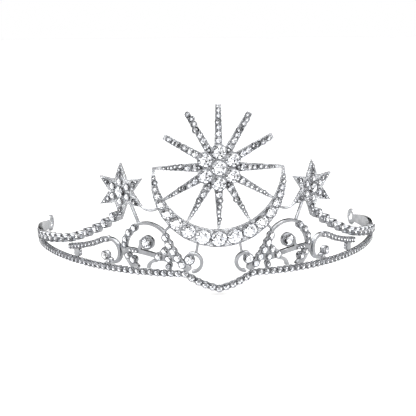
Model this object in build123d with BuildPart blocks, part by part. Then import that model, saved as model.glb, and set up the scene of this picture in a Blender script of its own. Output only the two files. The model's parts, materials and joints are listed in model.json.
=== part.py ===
from build123d import *
import math
import os

# Bridal tiara: a twelve-ray starburst held in a crescent, with a six-ray star and open scrolls on each
# side, all soldered to a stone-set rail that curves round the head and ends in two ring loops.
# Front faces -Y and up is +Z. Places on the tiara's wall are given as (along, height): along is the
# distance round the wall from the front centre, and height is measured from the tip of the rail's V.

# ------------------------------------------------------------------ driving dimensions, mm and degrees

# Plan of the wall: one arc across the forehead and a flatter arc along each temple.
forehead_radius = 66.0
temple_radius = 95.7
forehead_half_angle = 44.2
wall_front_y = -54.72

# Base rail
rail_bottom = 6.4
rail_height = 2.8
rail_depth = 2.0
rail_half_length = 99.5
vee_half_length = 12.5
vee_top = 4.3
rail_stone = 2.2
rail_end_margin = 1.5
straight_stones = 34
vee_stones = 5

# Scrolls, stars and bars
scroll_depth = 1.6
plain_band = 1.2
stoned_band = 2.5
wire_radius = 0.5
post_radius = 0.65
cup_wall = 0.35
seat_clearance = 0.05
seat_depth = 1.1

# Blank from which scrolls are cut, and how far flat outlines are carried each way to pass right through it
blank_height = 32.0
outline_reach = 12.0

# Starburst and crescent, flat castings across the front
plate_depth = 1.6
hub_height = 46.6
inner_radius = 22.5
crescent_radius = 24.0
crescent_height = 41.7
horn_rise = 0.4
hub_radius = 6.2
ray_length = 22.2
long_ray_root_width = 3.4
long_ray_tip_width = 2.0
fine_ray_root_width = 4.4
fine_ray_tip_width = 0.8
cluster_radius = 5.7
cluster_depth = 1.2
centre_stone = 5.2
ring_stone = 4.9

# Side stars
star_along = 36.6
star_height = 37.2
star_radius = 10.5
star_notch_radius = 5.0
star_front = 1.0
star_depth = 1.4
star_centre_stone = 4.2
star_ring_stone = 2.5
star_ring_radius = 3.6

# Upper chain of claw cups
cup_front = 0.8
cup_depth = 2.4
link_radius = 0.55

# Ends
end_band_length = 43.5
end_ring_radius = 3.7
end_ring_bore = 2.1
end_ring_depth = 1.2
end_ring_edge = 0.3
end_ring_height = 7.0

# Stones: share of the diameter taken by the crown, and the pavilion's limit
crown_share = 0.16
crown_taper = 38.0
pavilion_depth = 0.9
pavilion_taper = 30.0

# ------------------------------------------------------------------ places on the wall

forehead_half_length = forehead_radius * math.radians(forehead_half_angle)
ring_along = rail_half_length + end_band_length + end_ring_radius


def heading_at(along):
    """Angle from straight ahead to the wall's outward direction."""
    if abs(along) <= forehead_half_length:
        return math.degrees(along / forehead_radius)
    beyond = math.degrees((abs(along) - forehead_half_length) / temple_radius)
    return math.copysign(forehead_half_angle + beyond, along)


def plan_point(along, inset=0.0):
    """Point of the wall's plan, moved inwards by inset."""
    turn = math.radians(heading_at(along))
    outward = Vector(math.sin(turn), -math.cos(turn))
    forehead_centre = Vector(0, wall_front_y + forehead_radius)
    if abs(along) <= forehead_half_length:
        return forehead_centre + outward * (forehead_radius - inset)
    joint = math.radians(math.copysign(forehead_half_angle, along))
    joint_outward = Vector(math.sin(joint), -math.cos(joint))
    temple_centre = forehead_centre - joint_outward * (temple_radius - forehead_radius)
    return temple_centre + outward * (temple_radius - inset)


# The tiara stands on the tip of its V and on its two end rings, so the rail falls slightly to the back.
vee_back_y = wall_front_y + rail_depth
ring_drop = end_ring_height - end_ring_radius
lean_angle = -math.degrees(math.atan2(ring_drop, plan_point(ring_along).Y - vee_back_y))
lean = (
    Location((0, vee_back_y, 0))
    * Location((0, 0, 0), (lean_angle, 0, 0))
    * Location((0, -vee_back_y, 0))
)


def leaned(plane):
    return Plane(lean * plane.location)


def plan_plane(height):
    """Level plane of the rail."""
    return leaned(Plane(origin=(0, 0, height)))


def panel_plane(touching):
    """Plane that touches the wall at one place, on which points are written as (along, height)."""
    turn = math.radians(heading_at(touching))
    across = Vector(math.cos(turn), math.sin(turn), 0)
    start = plan_point(touching) - across * touching
    return leaned(Plane(origin=start, x_dir=across, z_dir=(math.sin(turn), -math.cos(turn), 0)))


def wall_plane(along, height, proud=0.0):
    """Plane at one place of the wall, looking straight out of it."""
    turn = math.radians(heading_at(along))
    start = plan_point(along, -proud) + Vector(0, 0, height)
    across = (math.cos(turn), math.sin(turn), 0)
    return leaned(Plane(origin=start, x_dir=across, z_dir=(math.sin(turn), -math.cos(turn), 0)))


def panel_seat(touching, along, height, proud=0.0):
    """Plane at one place of a flat panel, looking straight out of it."""
    panel = panel_plane(touching)
    return Plane(panel.location * Location((along, height, proud)))


# ------------------------------------------------------------------ shared shapes


def draw_plan_band(half_length, depth):
    """Draw the plan of a band on the wall, from its left end round the front to its right end."""
    temple_middle = (half_length + forehead_half_length) / 2
    right_marks = [forehead_half_length, temple_middle, half_length]
    marks = [-mark for mark in reversed(right_marks)] + [0] + right_marks
    outer = [plan_point(mark) for mark in marks]
    inner = [plan_point(mark, depth) for mark in marks]
    with BuildLine() as outline:
        for first in (0, 2, 4):
            ThreePointArc(*outer[first : first + 3])
            ThreePointArc(*inner[first : first + 3])
        Line(outer[0], inner[0])
        Line(outer[-1], inner[-1])
    make_face(outline.line.edges())


def arcs_through(*points):
    """Arcs one after another, each through three points, the last point of one starting the next."""
    return [ThreePointArc(*points[first : first + 3]) for first in range(0, len(points) - 2, 2)]


def brilliant(diameter):
    """One round stone with an eight-sided crown and a short pavilion, its girdle at the origin."""
    with BuildPart() as gem:
        with BuildSketch():
            RegularPolygon(diameter / 2, 8)
        extrude(amount=diameter * crown_share, taper=crown_taper)
        with BuildSketch():
            RegularPolygon(diameter / 2, 8)
        extrude(amount=-min(pavilion_depth, diameter / 2), taper=pavilion_taper)
    return gem.part


def planes_by_size(seats):
    """Seats grouped by the size of their stone."""
    sizes = sorted({diameter for plane, diameter in seats})
    return {size: [plane for plane, diameter in seats if diameter == size] for size in sizes}


def stones_for(seats):
    """Every stone of one kind as separate solids."""
    groups = [(brilliant(size), planes) for size, planes in planes_by_size(seats).items()]
    with BuildPart() as stones:
        for gem, planes in groups:
            with Locations(*planes):
                add(gem)
    return stones.part


def cut_seats(seats):
    """Sink the seat of each stone into the open part."""
    for size, planes in planes_by_size(seats).items():
        with Locations(*planes):
            Hole(size / 2 + seat_clearance, seat_depth)


def wall_seats(places, sides=(1,)):
    """Seats on the wall for stones given as (along, height, diameter)."""
    return [(wall_plane(side * along, height), size) for side in sides for along, height, size in places]


def draw_cups(places):
    """Draw the round rim of each cup."""
    for along, height, size in places:
        with Locations((along, height)):
            Circle(size / 2 + cup_wall)


def draw_links(places, width):
    """Draw a straight web from each stone to the next."""
    for (from_along, from_height, _), (to_along, to_height, _) in zip(places, places[1:]):
        centre = ((from_along + to_along) / 2, (from_height + to_height) / 2)
        length = math.hypot(to_along - from_along, to_height - from_height)
        angle = math.degrees(math.atan2(to_height - from_height, to_along - from_along))
        with Locations(Location((centre[0], centre[1], 0), angle)):
            SlotCenterToCenter(length, width)


def largest(piece):
    """The main solid of a piece, without the offcuts beyond a neighbour."""
    return piece.solids().sort_by(SortBy.VOLUME)[-1]


def bar_plane(start, end):
    return Plane(origin=(start + end) / 2, z_dir=end - start)


def save(part, name):
    part.label = name
    export_step(part, f"parts/{name}.step")


def save_pair(part, name):
    """Write a piece of the right side, and its mirror image on the left side."""
    save(part, f"right_{name}")
    with BuildPart() as mirrored:
        mirror(part, about=Plane.YZ)
    save(mirrored.part, f"left_{name}")


os.makedirs("parts", exist_ok=True)

# Blank from which every scroll is cut, so that each follows the curve of the wall.
with BuildPart() as scroll_blank:
    with BuildSketch(plan_plane(0)):
        draw_plan_band(ring_along, scroll_depth)
    extrude(amount=blank_height)

# ------------------------------------------------------------------ base rail, with its V at the front

rail_middle = rail_bottom + rail_height / 2
vee_seat_lift = 0.2
vee_middle = vee_top / 2 + vee_seat_lift
vee_bend = vee_half_length / 2
vee_sag = 0.7
rail_stone_pitch = (rail_half_length - vee_half_length - rail_end_margin) / (straight_stones - 1)


def vee_height(along):
    """Height of the V's centre line, which sags a little between its tip and the rail."""
    share = along / vee_half_length
    return vee_middle + (rail_middle - vee_middle) * share - vee_sag * math.sin(math.pi * share)


rail_places = [(0, vee_middle, rail_stone)]
for count in range(1, vee_stones):
    vee_along = vee_half_length * count / vee_stones
    for side in (-1, 1):
        rail_places.append((side * vee_along, vee_height(vee_along), rail_stone))
for count in range(straight_stones):
    for side in (-1, 1):
        rail_places.append((side * (vee_half_length + count * rail_stone_pitch), rail_middle, rail_stone))
rail_seats = wall_seats(rail_places)

vee_tip = (0, 0)
vee_notch = (0, vee_top)
vee_lower_bend = (-vee_bend, vee_height(vee_bend) - rail_height / 2)
vee_upper_bend = (-vee_bend, vee_height(vee_bend) + rail_height / 2)
vee_lower_end = (-vee_half_length, rail_bottom)
vee_upper_end = (-vee_half_length, rail_bottom + rail_height)
above_vee_end = (-vee_half_length, blank_height)
above_vee = (0, blank_height)

with BuildPart() as base_rail:
    with BuildSketch(panel_plane(0)):
        with BuildLine():
            Polyline(vee_tip, vee_lower_bend, vee_lower_end, vee_upper_end, vee_upper_bend, vee_notch)
            mirror(about=Plane.YZ)
        make_face()
    extrude(amount=outline_reach, both=True)
    with BuildSketch(plan_plane(0)):
        draw_plan_band(rail_half_length, rail_depth)
    extrude(amount=blank_height, mode=Mode.INTERSECT)
    with BuildSketch(plan_plane(rail_bottom)):
        draw_plan_band(rail_half_length, rail_depth)
    extrude(amount=rail_height)
    with BuildSketch(panel_plane(0)):
        with BuildLine():
            Polyline(vee_notch, vee_upper_bend, vee_upper_end, above_vee_end, above_vee)
            mirror(about=Plane.YZ)
        make_face()
    extrude(amount=outline_reach, both=True, mode=Mode.SUBTRACT)
    rail_blank = base_rail.part
    cut_seats(rail_seats)
save(base_rail.part, "base_rail")
save(stones_for(rail_seats), "base_rail_stones")

# ------------------------------------------------------------------ crescent

widest_horn = 84.0
stone_share = 0.86
horn_rim = 0.3
stone_gap = 1.06


def crescent_width(angle):
    """Width of the crescent at an angle from straight down, seen from the hub."""
    drop = hub_height - crescent_height
    sideways = drop * math.sin(math.radians(angle))
    outer = drop * math.cos(math.radians(angle)) + math.sqrt(crescent_radius**2 - sideways**2)
    return outer - inner_radius


crescent_seats = []
angle = 0.0
while angle < widest_horn:
    width = crescent_width(angle)
    size = round(min(width * stone_share, width - 2 * horn_rim), 2)
    middle = inner_radius + width / 2
    sides = (-1, 1) if angle else (1,)
    for side in sides:
        across = side * middle * math.sin(math.radians(angle))
        height = hub_height - middle * math.cos(math.radians(angle))
        crescent_seats.append((panel_seat(0, across, height), size))
    angle += math.degrees(size * stone_gap / middle)

with BuildPart() as crescent:
    with BuildSketch(panel_plane(0)):
        with Locations((0, crescent_height)):
            Circle(crescent_radius)
        with Locations((0, hub_height)):
            Circle(inner_radius, mode=Mode.SUBTRACT)
        with Locations((0, hub_height + horn_rise)):
            Rectangle(
                3 * crescent_radius,
                crescent_radius,
                align=(Align.CENTER, Align.MIN),
                mode=Mode.SUBTRACT,
            )
    extrude(amount=-plate_depth)
    crescent_blank = crescent.part
    cut_seats(crescent_seats)
save(crescent.part, "crescent_setting")
save(stones_for(crescent_seats), "crescent_stones")

# ------------------------------------------------------------------ starburst: rays and the hub's cups

first_stone_beyond_cup = 9.7
first_stone_between_cups = 8.6
smallest_ray_stone = 0.9
ray_stone_share = 0.78
ray_stone_gap = 1.08
ray_tip_margin = 0.8
ray_overlap = 1.0


def ray_stone(radius, root_width, tip_width):
    """Stone that suits the width of a ray at a distance from the hub's centre."""
    width = root_width + (tip_width - root_width) * radius / ray_length
    return round(width * ray_stone_share, 1)


def ray_seats(directions, root_width, tip_width):
    """Seats of the stones in a row along each ray, smaller towards the tip."""
    seats = []
    for direction in directions:
        under_a_cup = direction % 60 == 30
        radius = first_stone_beyond_cup if under_a_cup else first_stone_between_cups
        size = ray_stone(radius, root_width, tip_width)
        while radius < ray_length - ray_tip_margin and size >= smallest_ray_stone:
            across = radius * math.cos(math.radians(direction))
            height = hub_height + radius * math.sin(math.radians(direction))
            seats.append((panel_seat(0, across, height), size))
            radius += size * ray_stone_gap
            size = ray_stone(radius, root_width, tip_width)
    return seats


long_rays = (30, 60, 90, 120, 150)
fine_rays = (180, 210, 240, 270, 300, 330, 360)
starburst_seats = ray_seats(long_rays, long_ray_root_width, long_ray_tip_width)
starburst_seats += ray_seats(fine_rays, fine_ray_root_width, fine_ray_tip_width)

with BuildPart() as starburst:
    with BuildSketch(panel_plane(0)):
        for directions, root_width, tip_width, reach in (
            (long_rays, long_ray_root_width, long_ray_tip_width, ray_length),
            (fine_rays, fine_ray_root_width, fine_ray_tip_width, inner_radius + ray_overlap),
        ):
            for direction in directions:
                with Locations(Location((0, hub_height, 0), direction)):
                    Polygon(
                        (0, -root_width / 2),
                        (reach, -tip_width / 2),
                        (reach, tip_width / 2),
                        (0, root_width / 2),
                        align=None,
                    )
        with Locations((0, hub_height)):
            Circle(hub_radius)
            Circle(inner_radius, mode=Mode.INTERSECT)
    extrude(amount=-plate_depth)
    cut_seats(starburst_seats)
save(starburst.part, "starburst_setting")
save(stones_for(starburst_seats), "starburst_ray_stones")

centre_seats = [(panel_seat(0, 0, hub_height, cluster_depth), centre_stone)]
ring_seats = []
for direction in range(30, 390, 60):
    across = cluster_radius * math.cos(math.radians(direction))
    height = hub_height + cluster_radius * math.sin(math.radians(direction))
    ring_seats.append((panel_seat(0, across, height, cluster_depth), ring_stone))

with BuildPart() as cluster:
    with BuildSketch(panel_plane(0)):
        with Locations((0, hub_height)):
            Circle(cluster_radius)
            with PolarLocations(cluster_radius, 6, start_angle=30):
                Circle(ring_stone / 2 + cup_wall)
    extrude(amount=cluster_depth)
    cut_seats(centre_seats + ring_seats)
save(cluster.part, "starburst_cluster_cups")
save(stones_for(centre_seats), "starburst_centre_stone")
save(stones_for(ring_seats), "starburst_ring_stones")

# ------------------------------------------------------------------ side stars

star_ray_places = [(6.4, 1.6), (8.0, 1.1)]


def star_seats(side, radius, size, turned):
    """Seats of six equal stones on one of the side stars."""
    seats = []
    for direction in range(turned, 360 + turned, 60):
        across = radius * math.cos(math.radians(direction))
        height = radius * math.sin(math.radians(direction))
        seat = panel_seat(side * star_along, side * star_along + across, star_height + height, star_front)
        seats.append((seat, size))
    return seats


star_centre_seats = []
star_small_seats = []
for side in (1, -1):
    middle = panel_seat(side * star_along, side * star_along, star_height, star_front)
    star_centre_seats.append((middle, star_centre_stone))
    star_small_seats += star_seats(side, star_ring_radius, star_ring_stone, 30)
    for radius, size in star_ray_places:
        star_small_seats += star_seats(side, radius, size, 30)
right_star_seats = star_centre_seats[:1] + star_small_seats[: len(star_small_seats) // 2]

star_outline = []
for corner in range(12):
    reach = star_radius if corner % 2 == 0 else star_notch_radius
    corner_angle = math.radians(30 + 30 * corner)
    star_outline.append((reach * math.cos(corner_angle), reach * math.sin(corner_angle)))

with BuildPart() as side_star:
    with BuildSketch(panel_seat(star_along, star_along, star_height, star_front)):
        Polygon(*star_outline, align=None)
    extrude(amount=-star_depth)
    star_blank = side_star.part
    cut_seats(right_star_seats)
save_pair(side_star.part, "star_setting")
save(stones_for(star_centre_seats), "star_centre_stones")
save(stones_for(star_small_seats), "star_small_stones")

# ------------------------------------------------------------------ scrolls between crescent and rail

loop_stones = [(31.8, 23.9, 2.3), (34.1, 21.9, 2.3), (35.6, 19.4, 2.1), (36.2, 17.0, 1.8)]
loop_crown = arcs_through((31.4, 24.8), (25.8, 25.8), (20.2, 22.8))

with BuildPart() as loop_scroll:
    with BuildSketch(panel_plane(28)):
        for arc in loop_crown:
            SlotArc(arc, plain_band)
        draw_cups(loop_stones)
        draw_links(loop_stones, stoned_band)
    extrude(amount=outline_reach, both=True)
    add(scroll_blank.part, mode=Mode.INTERSECT)
    loop_blank = loop_scroll.part
    cut_seats(wall_seats(loop_stones))
save_pair(loop_scroll.part, "loop_scroll")

spray_outer = [(19.6, 21.0, 2.4), (18.3, 18.4, 2.6), (16.8, 15.9, 2.4), (15.2, 13.5, 2.4), (13.5, 11.2, 2.4)]
spray_toe = (11.5, 9.9, 1.2)
spray_inner = [(20.0, 15.9, 2.3), (22.3, 13.7, 2.6), (18.6, 13.2, 2.2), (18.2, 10.7, 1.6)]
spray_foot = (18.0, 9.0, 1.6)
spray_stones = spray_outer + spray_inner
spray_ladder = [spray_outer[2], *spray_inner[:3], spray_outer[3]]
spray_web = [place[:2] for place in (spray_outer[1], *spray_inner[:3], spray_outer[3], spray_outer[2])]

with BuildPart() as spray:
    with BuildSketch(panel_plane(17)):
        draw_cups(spray_stones)
        Polygon(*spray_web, align=None)
        draw_links([*spray_outer, spray_toe], stoned_band)
        draw_links(spray_ladder, stoned_band)
        draw_links([spray_inner[2], spray_inner[3], spray_foot], plain_band)
    extrude(amount=outline_reach, both=True)
    add(scroll_blank.part, mode=Mode.INTERSECT)
    add(loop_blank, mode=Mode.SUBTRACT)
    add(rail_blank, mode=Mode.SUBTRACT)
    add(largest(spray), mode=Mode.REPLACE)
    spray_blank = spray.part
    cut_seats(wall_seats(spray_stones))
save_pair(spray.part, "spray")

leaf_stones = [(34.7, 13.4, 2.1), (32.5, 12.0, 2.4)]
leaf_spine = arcs_through((36.3, 16.2), (35.0, 13.2), (31.4, 9.0))

with BuildPart() as leaf:
    with BuildSketch(panel_plane(34)):
        for arc in leaf_spine:
            SlotArc(arc, stoned_band)
        draw_cups(leaf_stones)
    extrude(amount=outline_reach, both=True)
    add(scroll_blank.part, mode=Mode.INTERSECT)
    add(loop_blank, mode=Mode.SUBTRACT)
    add(rail_blank, mode=Mode.SUBTRACT)
    add(largest(leaf), mode=Mode.REPLACE)
    leaf_blank = leaf.part
    cut_seats(wall_seats(leaf_stones))
save_pair(leaf.part, "leaf")

curl_bezel = (26.7, 18.7, 3.9)
curl_small = [(33.6, 15.5, 1.1), (32.3, 15.4, 1.1), (31.0, 15.3, 1.1)]
curl_band = arcs_through((35.2, 15.6), (28.8, 15.1), (23.0, 13.9))
curl_tail = arcs_through((29.2, 19.2), (29.6, 17.0), (30.4, 15.3))
curl_band_width = 1.7

with BuildPart() as inner_curl:
    with BuildSketch(panel_plane(28)):
        with Locations(curl_bezel[:2]):
            Circle(curl_bezel[2] / 2 + 2 * cup_wall)
        for arc in curl_band:
            SlotArc(arc, curl_band_width)
        for arc in curl_tail:
            SlotArc(arc, plain_band)
    extrude(amount=outline_reach, both=True)
    add(scroll_blank.part, mode=Mode.INTERSECT)
    for neighbour in (loop_blank, leaf_blank, spray_blank):
        add(neighbour, mode=Mode.SUBTRACT)
    add(largest(inner_curl), mode=Mode.REPLACE)
    cut_seats(wall_seats([curl_bezel] + curl_small))
save_pair(inner_curl.part, "inner_curl")

swoosh_spine = arcs_through((23.2, 12.2), (25.4, 11.4), (26.4, 9.0))

with BuildPart() as swoosh:
    with BuildSketch(panel_plane(25)):
        for arc in swoosh_spine:
            SlotArc(arc, plain_band)
    extrude(amount=outline_reach, both=True)
    add(scroll_blank.part, mode=Mode.INTERSECT)
    add(spray_blank, mode=Mode.SUBTRACT)
    add(rail_blank, mode=Mode.SUBTRACT)
    add(largest(swoosh), mode=Mode.REPLACE)
save_pair(swoosh.part, "swoosh")

centre_bezel = (10.8, 13.1, 3.2)
centre_ring = arcs_through((10.6, 15.2), (6.4, 12.4), (9.4, 8.6))

with BuildPart() as centre_curl:
    with BuildSketch(panel_plane(9)):
        with Locations(centre_bezel[:2]):
            Circle(centre_bezel[2] / 2 + cup_wall)
        for arc in centre_ring:
            SlotArc(arc, plain_band)
    extrude(amount=outline_reach, both=True)
    add(scroll_blank.part, mode=Mode.INTERSECT)
    add(spray_blank, mode=Mode.SUBTRACT)
    add(rail_blank, mode=Mode.SUBTRACT)
    add(largest(centre_curl), mode=Mode.REPLACE)
    cut_seats(wall_seats([centre_bezel]))
save_pair(centre_curl.part, "centre_curl")

both_sides = (1, -1)
save(stones_for(wall_seats([curl_bezel, centre_bezel], both_sides)), "curl_bezel_stones")
save(stones_for(wall_seats(loop_stones + leaf_stones + curl_small, both_sides)), "loop_stones")
save(stones_for(wall_seats(spray_stones, both_sides)), "spray_stones")

# ------------------------------------------------------------------ side scroll, with its link to the rail

side_row = [(66.4, 12.5), (64.2, 12.9), (62.0, 13.3), (59.8, 13.8), (57.6, 14.3), (55.4, 14.9), (53.2, 15.5)]
side_row += [(51.0, 16.2), (48.8, 17.1), (46.6, 18.0), (44.3, 18.5)]
side_stones = [(along, height, 1.7) for along, height in side_row]
side_bezel = (45.4, 12.2, 3.0)
side_foot = [(43.4, 10.4, 1.4), (45.2, 9.0, 1.4)]
side_curl = arcs_through((44.3, 18.6), (39.5, 16.8), (38.7, 13.4), (39.6, 11.0), (43.0, 9.9))
side_band = 2.2
side_set_stones = side_stones + side_foot[:1] + [side_bezel]

with BuildPart() as side_scroll:
    with BuildSketch(panel_plane(52)):
        draw_cups(side_set_stones)
        draw_links(side_stones, side_band)
        draw_links(side_foot, plain_band)
        for arc in side_curl:
            SlotArc(arc, plain_band)
    extrude(amount=outline_reach, both=True)
    add(scroll_blank.part, mode=Mode.INTERSECT)
    add(rail_blank, mode=Mode.SUBTRACT)
    add(largest(side_scroll), mode=Mode.REPLACE)
    side_blank = side_scroll.part
    cut_seats(wall_seats(side_set_stones))
save_pair(side_scroll.part, "side_scroll")
save(stones_for(wall_seats(side_set_stones, both_sides)), "side_scroll_stones")

link_petals = [(61.0, 10.3), (62.8, 10.3), (61.0, 11.6), (62.8, 11.6)]
petal_radius = 0.85
link_middle = (61.9, 10.9)
link_stem_width = 1.5
link_stem_length = 4.0

with BuildPart() as rail_link:
    with BuildSketch(panel_plane(62)):
        with Locations(*link_petals):
            Circle(petal_radius)
        with Locations(link_middle):
            Rectangle(link_stem_width, link_stem_length)
    extrude(amount=outline_reach, both=True)
    add(scroll_blank.part, mode=Mode.INTERSECT)
    add(side_blank, mode=Mode.SUBTRACT)
    add(rail_blank, mode=Mode.SUBTRACT)
    add(largest(rail_link), mode=Mode.REPLACE)
save_pair(rail_link.part, "rail_link")

# ------------------------------------------------------------------ end band, its stones and end ring

band_end = rail_half_length + end_band_length
band_stones = [(104.5, 9.9, 3.0), (109.6, 9.7, 3.0), (114.7, 9.4, 3.0)]
band_stones += [(119.8, 9.1, 2.8), (124.9, 8.8, 2.6), (129.8, 8.5, 2.4)]
band_front_bottom = (rail_half_length, rail_bottom)
band_front_top = (rail_half_length, rail_bottom + rail_height)
band_rise = (102.0, 11.2)
band_crest = (106.0, 12.2)
band_upper_middle = (120.0, 11.6)
band_lower_middle = (120.0, 5.7)
band_end_top = (band_end, 8.6)
band_end_bottom = (band_end, 5.4)

with BuildPart() as end_band:
    with BuildSketch(panel_plane(121)):
        with BuildLine():
            Line(band_front_bottom, band_front_top)
            ThreePointArc(band_front_top, band_rise, band_crest)
            ThreePointArc(band_crest, band_upper_middle, band_end_top)
            Line(band_end_top, band_end_bottom)
            ThreePointArc(band_end_bottom, band_lower_middle, band_front_bottom)
        make_face()
    extrude(amount=outline_reach, both=True)
    add(scroll_blank.part, mode=Mode.INTERSECT)
    add(rail_blank, mode=Mode.SUBTRACT)
    band_blank = end_band.part
    cut_seats(wall_seats(band_stones))
save_pair(end_band.part, "end_band")
save(stones_for(wall_seats(band_stones, both_sides)), "end_band_stones")

ring_seat = wall_plane(ring_along, end_ring_height)
with BuildPart() as end_ring:
    with BuildSketch(ring_seat):
        Circle(end_ring_radius)
    extrude(amount=-end_ring_depth)
    fillet(end_ring.edges().filter_by(GeomType.CIRCLE), end_ring_edge)
    with Locations(ring_seat):
        Hole(end_ring_bore)
    add(band_blank, mode=Mode.SUBTRACT)
save_pair(end_ring.part, "end_ring")

# ------------------------------------------------------------------ upper chain of claw cups

chain_cups = [(40.2, 27.3, 3.2), (44.4, 24.6, 3.2), (49.1, 22.1, 3.0), (54.3, 19.9, 2.9), (59.7, 17.9, 2.8)]
chain_cups += [(65.2, 16.2, 2.8), (70.8, 15.0, 2.8), (76.4, 14.1, 2.9), (82.0, 13.3, 3.1), (87.6, 12.5, 3.1)]
chain_cups += [(93.2, 11.8, 3.0), (98.8, 11.1, 2.8)]
chain_start = (37.0, 29.4)
chain_end = (102.6, 10.6)
chain_seats = [(wall_plane(along, height, cup_front), size) for along, height, size in chain_cups]
left_chain_seats = [(wall_plane(-along, height, cup_front), size) for along, height, size in chain_cups]
link_inset = -0.6
link_points = [chain_start] + [(along, height) for along, height, size in chain_cups] + [chain_end]
link_ends = [wall_plane(along, height, link_inset).origin for along, height in link_points]

with BuildPart() as upper_chain:
    for size, planes in planes_by_size(chain_seats).items():
        with Locations(*planes):
            Cylinder(size / 2 + cup_wall, cup_depth, align=(Align.CENTER, Align.CENTER, Align.MAX))
    for start, end in zip(link_ends, link_ends[1:]):
        with Locations(bar_plane(start, end)):
            Cylinder(link_radius, (end - start).length)
    for neighbour in (star_blank, side_blank, band_blank, rail_blank):
        add(neighbour, mode=Mode.SUBTRACT)
    add(largest(upper_chain), mode=Mode.REPLACE)
    cut_seats(chain_seats)
save_pair(upper_chain.part, "upper_chain")
save(stones_for(chain_seats + left_chain_seats), "chain_stones")

# ------------------------------------------------------------------ plain bars that tie the castings together

scroll_middle = -scroll_depth / 2
plate_middle = -plate_depth / 2
star_middle = star_front - star_depth / 2

post_foot = wall_plane(30.0, 25.2, scroll_middle).origin
post_head = wall_plane(33.6, 33.4, scroll_middle).origin
with BuildPart() as star_post:
    with Locations(bar_plane(post_foot, post_head)):
        Cylinder(post_radius, (post_head - post_foot).length)
    add(star_blank, mode=Mode.SUBTRACT)
    add(loop_blank, mode=Mode.SUBTRACT)
save_pair(star_post.part, "star_post")

arm_start = panel_seat(star_along, 28.0, 32.2, star_middle).origin
arm_middle = wall_plane(25.4, 31.2, 1.6).origin
arm_end = panel_seat(0, 20.8, 32.8, plate_middle).origin
with BuildPart() as star_arm:
    with BuildLine() as arm_path:
        ThreePointArc(arm_start, arm_middle, arm_end)
    with BuildSketch(Plane(origin=arm_path.line @ 0, z_dir=arm_path.line % 0)):
        Circle(wire_radius)
    sweep()
    add(star_blank, mode=Mode.SUBTRACT)
    add(crescent_blank, mode=Mode.SUBTRACT)
    add(largest(star_arm), mode=Mode.REPLACE)
save_pair(star_arm.part, "star_arm")

strut_head = panel_seat(0, 7.6, 19.2, plate_middle).origin
strut_foot = wall_plane(8.4, 15.2, scroll_middle).origin
with BuildPart() as crescent_strut:
    with Locations(bar_plane(strut_foot, strut_head)):
        Cylinder(wire_radius, (strut_head - strut_foot).length)
    add(crescent_blank, mode=Mode.SUBTRACT)
    add(centre_curl.part, mode=Mode.SUBTRACT)
save_pair(crescent_strut.part, "crescent_strut")

tie_head = panel_seat(0, 16.8, 26.2, plate_middle).origin
tie_foot = wall_plane(20.4, 22.9, scroll_middle).origin
with BuildPart() as diagonal_strut:
    with Locations(bar_plane(tie_foot, tie_head)):
        Cylinder(wire_radius, (tie_head - tie_foot).length)
    add(crescent_blank, mode=Mode.SUBTRACT)
    add(loop_blank, mode=Mode.SUBTRACT)
    add(spray_blank, mode=Mode.SUBTRACT)
    add(largest(diagonal_strut), mode=Mode.REPLACE)
save_pair(diagonal_strut.part, "diagonal_strut")
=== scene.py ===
import json
import math

import bmesh
import bpy
import numpy as np
from mathutils import Matrix, Vector

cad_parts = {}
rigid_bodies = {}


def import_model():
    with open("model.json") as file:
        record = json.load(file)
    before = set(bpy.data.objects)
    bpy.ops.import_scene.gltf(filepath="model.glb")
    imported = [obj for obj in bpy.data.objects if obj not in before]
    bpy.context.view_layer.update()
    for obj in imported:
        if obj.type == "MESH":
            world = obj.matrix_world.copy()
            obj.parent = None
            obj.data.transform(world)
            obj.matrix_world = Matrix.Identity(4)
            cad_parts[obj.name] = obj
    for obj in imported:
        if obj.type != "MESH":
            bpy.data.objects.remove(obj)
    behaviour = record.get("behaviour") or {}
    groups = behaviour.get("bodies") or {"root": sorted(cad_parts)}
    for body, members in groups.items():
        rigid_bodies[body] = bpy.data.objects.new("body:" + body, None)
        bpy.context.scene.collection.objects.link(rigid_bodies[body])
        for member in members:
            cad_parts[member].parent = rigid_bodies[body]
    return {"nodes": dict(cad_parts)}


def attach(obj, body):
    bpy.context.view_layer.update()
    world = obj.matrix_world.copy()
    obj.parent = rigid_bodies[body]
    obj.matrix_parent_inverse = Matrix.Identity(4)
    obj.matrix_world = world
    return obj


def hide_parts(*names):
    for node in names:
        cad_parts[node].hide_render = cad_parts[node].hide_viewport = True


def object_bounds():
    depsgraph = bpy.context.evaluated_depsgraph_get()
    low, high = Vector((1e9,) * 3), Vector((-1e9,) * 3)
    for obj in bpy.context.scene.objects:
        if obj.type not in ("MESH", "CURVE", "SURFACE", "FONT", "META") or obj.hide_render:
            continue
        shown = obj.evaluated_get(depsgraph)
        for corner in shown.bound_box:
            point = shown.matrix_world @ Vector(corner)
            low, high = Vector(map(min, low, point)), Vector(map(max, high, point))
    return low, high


# A bridal tiara of rhodium-bright castings set with clear stones. Lengths are in metres.

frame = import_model()
cad_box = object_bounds()
MM = 0.001
MERGE_DISTANCE = 1e-6
FLAT_ANGLE = math.radians(1)
SMOOTH_ANGLE = math.radians(35)
SHARP_ANGLE = math.radians(40)

# ------------------------------------------------------------------ camera

CAMERA_PLACE = Vector((-22.6, -354.0, 97.7)) * MM
CAMERA_AIM = Vector((1.7, 36.4, 12.5)) * MM
CAMERA_ROLL = math.radians(-0.39)
CAMERA_LENS = 74.9

camera_data = bpy.data.cameras.new("camera")
camera_data.lens = CAMERA_LENS
camera = bpy.data.objects.new("camera", camera_data)
bpy.context.scene.collection.objects.link(camera)
aim = (CAMERA_AIM - CAMERA_PLACE).to_track_quat("-Z", "Y").to_matrix().to_4x4()
camera.matrix_world = Matrix.Translation(CAMERA_PLACE) @ aim @ Matrix.Rotation(CAMERA_ROLL, 4, "Z")
bpy.context.scene.camera = camera
bpy.context.scene.view_settings.view_transform = "Standard"

# ------------------------------------------------------------------ materials


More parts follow.
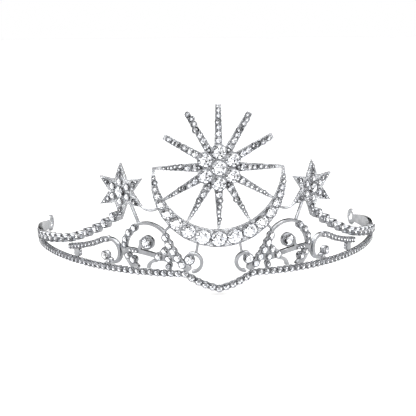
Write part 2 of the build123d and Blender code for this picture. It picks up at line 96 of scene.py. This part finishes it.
def new_material(name):
    material = bpy.data.materials.new(name)
    material.use_nodes = True
    shader = material.node_tree.nodes["Principled BSDF"]
    return material, shader


def add_noise(material, scale, detail):
    """Noise in object space, so that it stays on the metal at its real size."""
    nodes, links = material.node_tree.nodes, material.node_tree.links
    place = nodes.new("ShaderNodeTexCoord")
    noise = nodes.new("ShaderNodeTexNoise")
    noise.inputs["Scale"].default_value = scale
    noise.inputs["Detail"].default_value = detail
    links.new(place.outputs["Object"], noise.inputs["Vector"])
    return noise


def add_ramp(material, source, dark, light):
    """Turn a noise into a range of colours or values."""
    nodes, links = material.node_tree.nodes, material.node_tree.links
    ramp = nodes.new("ShaderNodeValToRGB")
    ramp.color_ramp.elements[0].position = 0.35
    ramp.color_ramp.elements[0].color = (*dark, 1)
    ramp.color_ramp.elements[1].position = 0.7
    ramp.color_ramp.elements[1].color = (*light, 1)
    links.new(source, ramp.inputs["Fac"])
    return ramp.outputs["Color"]


def add_painted_crevice_shade(material, colour, reach, painted_shade):
    """Painted shade: darken a colour where the shape closes in on itself, in corners and between parts.
    """
    nodes, links = material.node_tree.nodes, material.node_tree.links
    shade = nodes.new("ShaderNodeAmbientOcclusion")
    shade.samples = 4
    shade.inputs["Distance"].default_value = reach
    mix = nodes.new("ShaderNodeMix")
    mix.data_type = "RGBA"
    mix.inputs["A"].default_value = (*painted_shade, 1)
    links.new(add_ramp(material, shade.outputs["AO"], (0, 0, 0), (1, 1, 1)), mix.inputs["Factor"])
    links.new(colour, mix.inputs["B"])
    return mix.outputs["Result"]


def make_metal(name, dark, light, smooth, rough, bump, painted_shade=None, grained=False):
    """Cast and plated metal: slightly uneven in tone and polish, with a fine cast skin.

    Grained metal is covered in small round beads, as between pave stones.
    """
    material, shader = new_material(name)
    links = material.node_tree.links
    shader.inputs["Metallic"].default_value = 1.0
    tone = add_noise(material, TONE_SCALE, 3)
    colour = add_ramp(material, tone.outputs["Fac"], dark, light)
    # Painted shade: when a shade colour is given, the metal is darkened in hollows and between parts.
    if painted_shade:
        colour = add_painted_crevice_shade(material, colour, PAINTED_SHADE_REACH, painted_shade)
    links.new(colour, shader.inputs["Base Color"])
    polish = add_noise(material, POLISH_SCALE, 4)
    roughness = add_ramp(material, polish.outputs["Fac"], (smooth,) * 3, (rough,) * 3)
    links.new(roughness, shader.inputs["Roughness"])
    skin = add_noise(material, SKIN_SCALE, 3)
    relief = material.node_tree.nodes.new("ShaderNodeBump")
    relief.inputs["Strength"].default_value = bump
    relief.inputs["Distance"].default_value = SKIN_RELIEF
    links.new(skin.outputs["Fac"], relief.inputs["Height"])
    links.new(relief.outputs["Normal"], shader.inputs["Normal"])
    if grained:
        add_grain_relief(material, relief)
    return material


def add_grain_relief(material, skin_relief):
    """Round beads, set close together, under the fine skin."""
    nodes, links = material.node_tree.nodes, material.node_tree.links
    place = nodes.new("ShaderNodeTexCoord")
    grains = nodes.new("ShaderNodeTexVoronoi")
    grains.inputs["Scale"].default_value = 1 / GRAIN_PITCH
    grains.inputs["Randomness"].default_value = 0.6
    links.new(place.outputs["Object"], grains.inputs["Vector"])
    beads = nodes.new("ShaderNodeBump")
    beads.invert = True
    beads.inputs["Strength"].default_value = 1.0
    beads.inputs["Distance"].default_value = GRAIN_RELIEF
    links.new(grains.outputs["Distance"], beads.inputs["Height"])
    links.new(beads.outputs["Normal"], skin_relief.inputs["Normal"])


def make_crystal():
    """Clear lead crystal with the faintest tone in it."""
    material, shader = new_material("crystal_clear")
    shader.inputs["Transmission Weight"].default_value = 1.0
    shader.inputs["IOR"].default_value = CRYSTAL_IOR
    shader.inputs["Roughness"].default_value = 0.0
    tone = add_noise(material, CRYSTAL_TONE_SCALE, 2)
    colour = add_ramp(material, tone.outputs["Fac"], (0.93, 0.94, 0.97), (1.0, 1.0, 1.0))
    material.node_tree.links.new(colour, shader.inputs["Base Color"])
    return material


TONE_SCALE = 320
POLISH_SCALE = 900
SKIN_SCALE = 2200
SKIN_RELIEF = 0.02 * MM
CRYSTAL_TONE_SCALE = 150
CRYSTAL_IOR = 1.6
# Reach and colour of the painted shade in hollows and between parts
PAINTED_SHADE_REACH = 0.7 * MM
PAINTED_CREVICE_SHADE = (0.05, 0.05, 0.055)
GRAIN_PITCH = 0.62 * MM
GRAIN_RELIEF = 0.3 * MM
silver = make_metal("silver_plate", (0.46, 0.47, 0.49), (0.68, 0.69, 0.71), 0.10, 0.22, 0.25, PAINTED_CREVICE_SHADE)
grained_silver = make_metal(
    "silver_grained", (0.56, 0.57, 0.59), (0.84, 0.85, 0.87), 0.12, 0.25, 0.2, PAINTED_CREVICE_SHADE, grained=True
)
# Painted shade: the cups are the same plated metal, coloured darker so that a dark outline shows round
# each stone.
cup_silver_painted_dark = make_metal("silver_cups", (0.18, 0.185, 0.2), (0.38, 0.39, 0.41), 0.10, 0.22, 0.3, PAINTED_CREVICE_SHADE)
foil = make_metal("stone_foil", (0.92, 0.93, 0.95), (1.0, 1.0, 1.0), 0.0, 0.03, 0.0)
crystal = make_crystal()

# ------------------------------------------------------------------ mesh helpers


def add_piece(name, points, faces, materials, face_slots=None, smooth=False):
    """A mesh object from points and faces, riding on the tiara's one body."""
    mesh = bpy.data.meshes.new(name)
    mesh.from_pydata([tuple(point) for point in points], [], [tuple(face) for face in faces])
    for material in materials:
        mesh.materials.append(material)
    if face_slots is not None:
        mesh.polygons.foreach_set("material_index", face_slots)
    if smooth:
        mesh.polygons.foreach_set("use_smooth", [True] * len(mesh.polygons))
    mesh.update()
    piece = bpy.data.objects.new(name, mesh)
    bpy.context.scene.collection.objects.link(piece)
    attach(piece, "root")
    return piece


class Builder:
    """Collects many small copies of shapes into one mesh."""

    def __init__(self):
        self.points = []
        self.faces = []
        self.slots = []

    def add(self, points, faces, slots=None):
        first = len(self.points)
        self.points.extend(points)
        self.faces.extend([[first + corner for corner in face] for face in faces])
        self.slots.extend(slots if slots is not None else [0] * len(faces))

    def piece(self, name, materials, smooth=False):
        return add_piece(name, self.points, self.faces, materials, self.slots, smooth)


def side_vectors(axis):
    """Two directions square to an axis: level, and up."""
    level = np.cross((0.0, 0.0, 1.0), axis)
    level /= np.linalg.norm(level)
    return level, np.cross(axis, level)


def place(points, centre, axis, scale=1.0):
    """Move local points (across, up, out) to a place that looks along axis."""
    level, up = side_vectors(axis)
    turned = np.asarray(points) @ np.array([level, up, axis])
    return turned * scale + centre


def loose_parts(mesh):
    """Points of each separate solid in a CAD node."""
    merged = bmesh.new()
    merged.from_mesh(mesh)
    bmesh.ops.remove_doubles(merged, verts=merged.verts, dist=MERGE_DISTANCE)
    merged.verts.ensure_lookup_table()
    seen = set()
    parts = []
    for start in merged.verts:
        if start.index in seen:
            continue
        seen.add(start.index)
        waiting = [start]
        group = []
        while waiting:
            vertex = waiting.pop()
            group.append(vertex.co[:])
            for edge in vertex.link_edges:
                other = edge.other_vert(vertex)
                if other.index not in seen:
                    seen.add(other.index)
                    waiting.append(other)
        parts.append(np.array(group, float))
    merged.free()
    return parts


def stone_seats(node):
    """Centre, outward direction and radius of every stone in a CAD node."""
    seats = []
    for points in loose_parts(frame["nodes"][node].data):
        middle = points.mean(0)
        spread, directions = np.linalg.eigh(np.cov((points - middle).T))
        lone = 0 if spread[1] - spread[0] > spread[2] - spread[1] else 2
        axis = directions[:, lone]
        outward = middle - np.array([0.0, 0.01, middle[2]])
        if axis @ outward < 0:
            axis = -axis
        away = points - middle
        reach = np.linalg.norm(away - np.outer(away @ axis, axis), axis=1)
        girdle = points[reach > reach.max() * 0.99]
        seats.append((girdle.mean(0), axis, reach.max()))
    return seats


# ------------------------------------------------------------------ cut stones

TABLE_RADIUS = 0.56
CROWN_MIDDLE = 0.81
CROWN_HEIGHT = 0.27
GIRDLE_HALF = 0.02
PAVILION_MIDDLE = 0.45
PAVILION_DEPTH = 0.42
DEEPEST_PAVILION = 1.0 * MM


def ring(radius, height, count, turned=0.0):
    angles = [2 * math.pi * (step + turned) / count for step in range(count)]
    return [(radius * math.cos(angle), radius * math.sin(angle), height) for angle in angles]


def brilliant_cut(depth):
    """Round brilliant of radius 1: table, stars, kites, upper and lower halves and pavilion mains."""
    kite_share = (1 - CROWN_MIDDLE * math.cos(math.pi / 8)) / (1 - TABLE_RADIUS)
    points = ring(TABLE_RADIUS, CROWN_HEIGHT, 8)
    points += ring(CROWN_MIDDLE, GIRDLE_HALF + (CROWN_HEIGHT - GIRDLE_HALF) * kite_share, 8, 0.5)
    points += ring(1.0, GIRDLE_HALF, 16)
    points += ring(1.0, -GIRDLE_HALF, 16)
    points += ring(PAVILION_MIDDLE, -depth * 0.66, 8, 0.5)
    points.append((0, 0, -depth))
    table, crown, upper, lower, main, culet = 0, 8, 16, 32, 48, 56
    faces = [tuple(range(8))]
    for side in range(8):
        after = (side + 1) % 8
        before = (side - 1) % 8
        faces.append((table + side, crown + side, table + after))
        faces.append((table + side, crown + before, upper + 2 * side, crown + side))
        faces.append((crown + side, upper + 2 * side, upper + 2 * side + 1))
        faces.append((crown + side, upper + 2 * side + 1, upper + (2 * side + 2) % 16))
    crown_faces = len(faces)
    for side in range(16):
        after = (side + 1) % 16
        faces.append((upper + side, lower + side, lower + after, upper + after))
    for side in range(8):
        after = (side + 1) % 8
        faces.append((lower + 2 * side, main + side, lower + 2 * side + 1))
        faces.append((lower + 2 * side + 1, main + side, lower + 2 * after))
        faces.append((lower + 2 * after, main + side, main + after))
        faces.append((main + side, culet, main + after))
    slots = [0] * crown_faces + [1] * (len(faces) - crown_faces)
    return np.array(points), faces, slots


def cut_stones(node, raise_by=0.1 * MM):
    """Faceted stones in the places of a CAD node's plain ones."""
    build = Builder()
    for centre, axis, radius in stone_seats(node):
        points, faces, slots = brilliant_cut(min(PAVILION_DEPTH, DEEPEST_PAVILION / radius))
        build.add(place(points, centre + axis * raise_by, axis, radius), faces, slots)
    piece = build.piece(f"{node}_cut", [crystal, foil])
    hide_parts(node)
    return piece


# ------------------------------------------------------------------ cups and claws

CUP_SEGMENTS = 20
CUP_LAP = 0.12 * MM
LIP_LAP = 0.06 * MM
LIP_HEIGHT = 0.12 * MM
RIM_HEIGHT = 0.2 * MM
SHOULDER_HEIGHT = 0.16 * MM
SHOULDER_DROP = 0.1 * MM
CLAW_OUT = 0.02 * MM
CLAW_HEIGHT = 0.22 * MM
CLAW_SHARE = 0.24
ROD_SIDES = 8
PRONG_OUT = 0.22 * MM
PRONG_DEEP = 1.5 * MM
PRONG_RADIUS = 0.2 * MM
PRONG_HEAD_RADIUS = 0.23 * MM
PRONG_LAP = 0.02 * MM


def cup_profile(radius, wall, deep):
    """Half section of a cup's rim, as (distance from the axis, height)."""
    return [
        (radius - CUP_LAP, -deep),
        (radius + wall * 0.7, -deep),
        (radius + wall, -SHOULDER_DROP),
        (radius + wall * 0.75, SHOULDER_HEIGHT),
        (radius + wall * 0.1, RIM_HEIGHT),
        (radius - LIP_LAP, LIP_HEIGHT),
    ]


def add_lathe(build, profile, centre, axis, segments):
    """A closed ring, turned from its section."""
    points = []
    for step in range(segments):
        angle = 2 * math.pi * step / segments
        points += [(out * math.cos(angle), out * math.sin(angle), height) for out, height in profile]
    faces = []
    count = len(profile)
    for step in range(segments):
        here = step * count
        there = (step + 1) % segments * count
        for corner in range(count):
            after = (corner + 1) % count
            faces.append((here + corner, here + after, there + after, there + corner))
    build.add(place(points, centre, axis), faces)


def bead_shape(subdivisions):
    """A small round bead."""
    round_mesh = bmesh.new()
    bmesh.ops.create_icosphere(round_mesh, subdivisions=subdivisions, radius=1.0)
    points = np.array([vertex.co[:] for vertex in round_mesh.verts])
    faces = [[vertex.index for vertex in face.verts] for face in round_mesh.faces]
    round_mesh.free()
    return points, faces


BEAD_POINTS, BEAD_FACES = bead_shape(2)
GRAIN_POINTS, GRAIN_FACES = bead_shape(1)


def add_bead(build, centre, radius):
    build.add(BEAD_POINTS * radius + centre, BEAD_FACES)


def add_rod(build, start, end, radius):
    """A closed rod between two points."""
    axis = (end - start) / np.linalg.norm(end - start)
    length = np.linalg.norm(end - start)
    points = ring(radius, 0.0, ROD_SIDES) + ring(radius, length, ROD_SIDES)
    faces = [tuple(reversed(range(ROD_SIDES))), tuple(range(ROD_SIDES, 2 * ROD_SIDES))]
    for side in range(ROD_SIDES):
        after = (side + 1) % ROD_SIDES
        faces.append((side, after, ROD_SIDES + after, ROD_SIDES + side))
    build.add(place(points, start, axis), faces)


def cups(node, wall=0.3 * MM, deep=0.5 * MM, claws=4, claw_radius=0.24 * MM, towards=None, prongs=False):
    """A rim round each stone, with claw tips bent over the stone's edge.

    Claws are set square to the direction of a middle point, where one is given, and prongs run down
    the outside of a deep cup.
    """
    build = Builder()
    for centre, axis, radius in stone_seats(node):
        add_lathe(build, cup_profile(radius, wall, deep), centre, axis, CUP_SEGMENTS)
        level, up = side_vectors(axis)
        start = 0.0
        if towards is not None:
            start = math.atan2((towards - centre) @ up, (towards - centre) @ level)
        for claw in range(claws):
            angle = start + 2 * math.pi * (claw + 0.5) / claws
            sideways = level * math.cos(angle) + up * math.sin(angle)
            tip = centre + sideways * (radius + CLAW_OUT) + axis * CLAW_HEIGHT
            add_bead(build, tip, min(claw_radius, radius * CLAW_SHARE))
            if prongs:
                foot = centre + sideways * (radius + PRONG_OUT) - axis * PRONG_DEEP
                head = foot + axis * (PRONG_DEEP + CLAW_HEIGHT)
                add_rod(build, foot, head + axis * PRONG_LAP, PRONG_RADIUS)
                add_bead(build, head, PRONG_HEAD_RADIUS)
    piece = build.piece(f"{node}_cups", [cup_silver_painted_dark], smooth=True)
    return piece


def front_edges(node):
    """Directed edges round the front face of a casting: start, end, outward and inward directions."""
    shape = bmesh.new()
    shape.from_mesh(frame["nodes"][node].data)
    bmesh.ops.remove_doubles(shape, verts=shape.verts, dist=MERGE_DISTANCE)
    bmesh.ops.dissolve_limit(shape, angle_limit=FLAT_ANGLE, verts=shape.verts, edges=shape.edges)
    front = max(shape.faces, key=lambda face: face.calc_area() if face.normal.y < -0.5 else 0.0)
    outward = np.array(front.normal)
    edges = {}
    for face in shape.faces:
        if face.normal @ front.normal < 0.999:
            continue
        for loop in face.loops:
            other = loop.link_loop_radial_next.face
            if other.normal @ front.normal < 0.9:
                start = np.array(loop.vert.co)
                after = loop.link_loop_next.vert
                end = np.array(after.co)
                along = (end - start) / np.linalg.norm(end - start)
                edges[loop.vert.index] = (start, end, np.cross(outward, along), after.index)
    shape.free()
    return edges, outward


def grain_line(node, seats_node, pitch, radius):
    """Milgrain: small grains along the edge of a casting's front, clear of its stones."""
    edges, outward = front_edges(node)
    seats = stone_seats(seats_node)
    centres = np.array([centre for centre, axis, size in seats])
    sizes = np.array([size for centre, axis, size in seats])
    build = Builder()
    left = set(edges)
    while left:
        here = left.pop()
        left.add(here)
        travelled = 0.0
        due = pitch / 2
        while here in left:
            left.discard(here)
            start, end, inward, after = edges[here]
            length = np.linalg.norm(end - start)
            while due <= travelled + length:
                spot = start + (end - start) * (due - travelled) / length + inward * radius
                nearest = np.linalg.norm(centres - spot, axis=1) - sizes
                if nearest.min() > radius * 0.8:
                    build.add(GRAIN_POINTS * radius + spot, GRAIN_FACES)
                due += pitch
            travelled += length
            here = after
    piece = build.piece(f"{node}_grains", [silver], smooth=True)
    return piece


# ------------------------------------------------------------------ polished castings


def polish(node, soften=0.14 * MM, metal=silver):
    """The CAD casting with its edges rounded by polishing."""
    source = frame["nodes"][node].data
    shape = bmesh.new()
    shape.from_mesh(source)
    bmesh.ops.remove_doubles(shape, verts=shape.verts, dist=MERGE_DISTANCE)
    bmesh.ops.dissolve_limit(shape, angle_limit=FLAT_ANGLE, verts=shape.verts, edges=shape.edges)
    closed = [edge for edge in shape.edges if len(edge.link_faces) == 2]
    sharp = [edge for edge in closed if edge.calc_face_angle(0) > SHARP_ANGLE]
    bmesh.ops.bevel(
        shape, geom=sharp, offset=soften, segments=2, profile=0.6, affect="EDGES", clamp_overlap=True
    )
    bmesh.ops.triangulate(shape, faces=[face for face in shape.faces if len(face.verts) > 4])
    mesh = bpy.data.meshes.new(f"{node}_polished")
    shape.to_mesh(mesh)
    shape.free()
    mesh.materials.append(metal)
    mesh.polygons.foreach_set("use_smooth", [True] * len(mesh.polygons))
    mesh.set_sharp_from_angle(angle=SMOOTH_ANGLE)
    piece = bpy.data.objects.new(f"{node}_polished", mesh)
    bpy.context.scene.collection.objects.link(piece)
    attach(piece, "root")
    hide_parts(node)
    return piece


stone_nodes = sorted(name for name in frame["nodes"] if name.endswith(("stones", "centre_stone")))
casting_nodes = sorted(name for name in frame["nodes"] if name not in stone_nodes)

def rail_band(node, stones_node, half_height, front, back):
    """A slim band along the middle of the stones, so that the cups stand out from it as scallops."""
    seats = sorted(stone_seats(stones_node), key=lambda seat: math.atan2(seat[0][0], -seat[0][1]))
    centres = np.array([centre for centre, axis, radius in seats])
    steps = centres[[0, -1]] - centres[[1, -2]]
    steps /= np.linalg.norm(steps, axis=1)[:, None]
    ends = centres[[0, -1]] + steps * RAIL_END
    centres = np.vstack([ends[:1], centres, ends[1:]])
    axes = np.array([seats[0][1]] + [axis for centre, axis, radius in seats] + [seats[-1][1]])
    outline = [
        (-half_height, front - BAND_ROUND),
        (-half_height + BAND_ROUND, front),
        (half_height - BAND_ROUND, front),
        (half_height, front - BAND_ROUND),
        (half_height, back),
        (-half_height, back),
    ]
    points = []
    for index, (centre, axis) in enumerate(zip(centres, axes)):
        before = centres[max(index - 1, 0)]
        after = centres[min(index + 1, len(centres) - 1)]
        along = (after - before) / np.linalg.norm(after - before)
        up = np.cross(along, -axis)
        up /= np.linalg.norm(up)
        points += [centre + up * height + axis * out for height, out in outline]
    count = len(outline)
    faces = [tuple(range(count)), tuple(reversed(range(len(points) - count, len(points))))]
    for step in range(len(centres) - 1):
        for corner in range(count):
            after = (corner + 1) % count
            here, there = step * count, (step + 1) * count
            faces.append((here + after, here + corner, there + corner, there + after))
    piece = add_piece(f"{node}_band", points, faces, [silver])
    mesh_fix(piece)
    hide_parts(node)
    return piece


def mesh_fix(piece):
    """Turn every face outwards and round the shading of gentle bends."""
    shape = bmesh.new()
    shape.from_mesh(piece.data)
    bmesh.ops.recalc_face_normals(shape, faces=shape.faces)
    shape.to_mesh(piece.data)
    shape.free()
    piece.data.polygons.foreach_set("use_smooth", [True] * len(piece.data.polygons))
    piece.data.set_sharp_from_angle(angle=SMOOTH_ANGLE)


def grains_between(stones_node, pitch_limit, radius, offset, sink):
    """Pairs of small grains in the gaps of a row of stones."""
    seats = sorted(stone_seats(stones_node), key=lambda seat: math.atan2(seat[0][0], -seat[0][1]))
    build = Builder()
    for (here, axis, size), (there, next_axis, next_size) in zip(seats, seats[1:]):
        along = there - here
        if np.linalg.norm(along) > pitch_limit:
            continue
        up = np.cross(along / np.linalg.norm(along), -axis)
        for side in (-1, 1):
            add_bead(build, (here + there) / 2 + up * side * offset - axis * sink, radius)
    piece = build.piece(f"{stones_node}_grains", [silver], smooth=True)
    return piece


def hub_grains(ring_node):
    """Grains in the gaps inside and outside the ring of cups on the hub."""
    seats = stone_seats(ring_node)
    axis = seats[0][1]
    middle = np.mean([centre for centre, _, _ in seats], axis=0)
    level, up = side_vectors(axis)
    build = Builder()
    for count in range(6):
        angle = math.radians(60 * count)
        sideways = level * math.cos(angle) + up * math.sin(angle)
        for distance, radius, lower in HUB_GRAINS:
            add_bead(build, middle + sideways * distance - axis * lower, radius)
    piece = build.piece("hub_grains", [silver], smooth=True)
    return middle


BAND_ROUND = 0.3 * MM
RAIL_END = 1.5 * MM
# Distance from the hub's middle, radius, and depth below the stones' edges
HUB_GRAINS = (
    (3.3 * MM, 0.42 * MM, 0.1 * MM),
    (7.0 * MM, 0.62 * MM, 0.5 * MM),
    (8.0 * MM, 0.4 * MM, 1.0 * MM),
)

hub_middle = hub_grains("starburst_ring_stones")
grained_nodes = ("starburst_setting", "crescent_setting", "left_star_setting", "right_star_setting")
for node in casting_nodes:
    if node in grained_nodes:
        polish(node, metal=grained_silver)
    elif node != "base_rail":
        polish(node)
rail_band("base_rail", "base_rail_stones", 0.85 * MM, -0.2 * MM, -1.5 * MM)
grains_between("base_rail_stones", 4.0 * MM, 0.26 * MM, 0.95 * MM, 0.1 * MM)
grain_line("starburst_setting", "starburst_ray_stones", 0.5 * MM, 0.2 * MM)
grain_line("crescent_setting", "crescent_stones", 0.62 * MM, 0.25 * MM)
for side in ("left", "right"):
    grain_line(f"{side}_star_setting", "star_small_stones", 0.55 * MM, 0.2 * MM)
for node in stone_nodes:
    cut_stones(node)
cups("base_rail_stones", deep=0.8 * MM)
cups("starburst_ray_stones", wall=0.2 * MM, claw_radius=0.2 * MM, towards=hub_middle)
for node in ("starburst_centre_stone", "starburst_ring_stones", "crescent_stones"):
    cups(node, wall=0.2 * MM, claws=6, claw_radius=0.34 * MM, towards=hub_middle)
cups("curl_bezel_stones", wall=0.45 * MM, claws=0)
cups("chain_stones", deep=1.2 * MM, claw_radius=0.3 * MM, prongs=True)
cups("end_band_stones", deep=0.7 * MM, claw_radius=0.3 * MM)
for node in ("loop_stones", "side_scroll_stones", "spray_stones"):
    cups(node)
for node in ("star_centre_stones", "star_small_stones"):
    cups(node)

# ------------------------------------------------------------------ keep within the CAD's box

BOX_MARGIN = 0.01 * MM
low_corner = np.array(cad_box[0]) + BOX_MARGIN
high_corner = np.array(cad_box[1]) - BOX_MARGIN
for piece in bpy.data.objects:
    if piece.type == "MESH" and piece.name.endswith(("_cut", "_cups", "_grains", "_band", "_polished")):
        flat = np.empty(len(piece.data.vertices) * 3)
        piece.data.vertices.foreach_get("co", flat)
        inside = np.clip(flat.reshape(-1, 3), low_corner, high_corner)
        piece.data.vertices.foreach_set("co", inside.ravel())
        piece.data.update()

# ------------------------------------------------------------------ floor and light

FLOOR_TONES = ((0.93, 0.93, 0.93), (0.95, 0.95, 0.95))
# Grey of the floor in the painted reflection that the metal mirrors, and in the light the floor bounces
FLOOR_IN_PAINTED_REFLECTION = (0.44, 0.44, 0.44, 1)


def make_floor_material():
    """Matt white to the camera. To every other ray it is a darker grey: a painted reflection in the
    polished metal, which also dims the light the floor bounces.
    """
    material, shader = new_material("floor_white")
    nodes, links = material.node_tree.nodes, material.node_tree.links
    shader.inputs["Roughness"].default_value = 0.9
    shader.inputs["Specular IOR Level"].default_value = 0.0
    tone = add_noise(material, 3, 2)
    seen = nodes.new("ShaderNodeLightPath")
    mix = nodes.new("ShaderNodeMix")
    mix.data_type = "RGBA"
    mix.inputs["A"].default_value = FLOOR_IN_PAINTED_REFLECTION
    # Painted reflection: white only for camera rays, and grey for reflected and bounced rays.
    links.new(seen.outputs["Is Camera Ray"], mix.inputs["Factor"])
    links.new(add_ramp(material, tone.outputs["Fac"], *FLOOR_TONES), mix.inputs["B"])
    links.new(mix.outputs["Result"], shader.inputs["Base Color"])
    return material


FLOOR_HALF = 4.0
floor_corners = ((-1, -1), (1, -1), (1, 1), (-1, 1))
floor_points = [(FLOOR_HALF * across, FLOOR_HALF * along, 0) for across, along in floor_corners]
floor_mesh = bpy.data.meshes.new("floor")
floor_mesh.from_pydata(floor_points, [], [(0, 1, 2, 3)])
floor_mesh.materials.append(make_floor_material())
floor = bpy.data.objects.new("floor", floor_mesh)
bpy.context.scene.collection.objects.link(floor)


def make_world():
    """White to the camera. What the metal and stones mirror is a studio of pale and dark panels."""
    world = bpy.data.worlds.new("studio")
    world.use_nodes = True
    bpy.context.scene.world = world
    nodes, links = world.node_tree.nodes, world.node_tree.links
    background = nodes["Background"]
    direction = nodes.new("ShaderNodeTexCoord")
    panels = nodes.new("ShaderNodeTexVoronoi")
    panels.inputs["Scale"].default_value = 5.0
    links.new(direction.outputs["Generated"], panels.inputs["Vector"])
    level = nodes.new("ShaderNodeSeparateColor")
    links.new(panels.outputs["Color"], level.inputs["Color"])
    tones = nodes.new("ShaderNodeValToRGB")
    set_stops(tones, ((0.0, 0.0), (0.3, 0.01), (0.33, 0.6), (0.52, 1.0), (0.6, 2.6), (1.0, 3.4)))
    links.new(level.outputs["Red"], tones.inputs["Fac"])
    split = nodes.new("ShaderNodeSeparateXYZ")
    links.new(direction.outputs["Generated"], split.inputs["Vector"])
    half = nodes.new("ShaderNodeMath")
    half.operation = "MULTIPLY_ADD"
    half.inputs[1].default_value = 0.5
    half.inputs[2].default_value = 0.5
    links.new(split.outputs["Y"], half.inputs[0])
    behind = nodes.new("ShaderNodeValToRGB")
    set_stops(behind, ((0.0, 1.0), (0.5, 1.0), (0.72, 0.25), (1.0, 0.15)))
    links.new(half.outputs[0], behind.inputs["Fac"])
    product = nodes.new("ShaderNodeMix")
    product.data_type = "RGBA"
    product.blend_type = "MULTIPLY"
    product.inputs["Factor"].default_value = 1.0
    links.new(tones.outputs["Color"], product.inputs["A"])
    links.new(behind.outputs["Color"], product.inputs["B"])
    seen = nodes.new("ShaderNodeLightPath")
    mix = nodes.new("ShaderNodeMix")
    mix.data_type = "RGBA"
    mix.inputs["B"].default_value = (1, 1, 1, 1)
    links.new(seen.outputs["Is Camera Ray"], mix.inputs["Factor"])
    links.new(product.outputs["Result"], mix.inputs["A"])
    links.new(mix.outputs["Result"], background.inputs["Color"])
    background.inputs["Strength"].default_value = 1.0


def set_stops(ramp, stops):
    """Grey levels of a ramp, as (position, level)."""
    elements = ramp.color_ramp.elements
    while len(elements) < len(stops):
        elements.new(1.0)
    for element, (position, level) in zip(elements, stops):
        element.position = position
        element.color = (level, level, level, 1)


def add_softbox(name, spot, target, size, power):
    data = bpy.data.lights.new(name, "AREA")
    data.shape = "SQUARE"
    data.size = size
    data.energy = power
    box = bpy.data.objects.new(name, data)
    bpy.context.scene.collection.objects.link(box)
    turn = (target - spot).to_track_quat("-Z", "Y").to_matrix().to_4x4()
    box.matrix_world = Matrix.Translation(spot) @ turn


def add_overhead(name, power, spread):
    """Even light from a wide sky of lamps, which reaches the whole floor alike."""
    data = bpy.data.lights.new(name, "SUN")
    data.energy = power
    data.angle = math.radians(spread)
    overhead = bpy.data.objects.new(name, data)
    bpy.context.scene.collection.objects.link(overhead)


make_world()
add_softbox("top_light", Vector((0, 0.1, 1.2)), Vector((0, 0, 0)), 1.4, 7)
add_overhead("overhead_light", 1.6, 100)
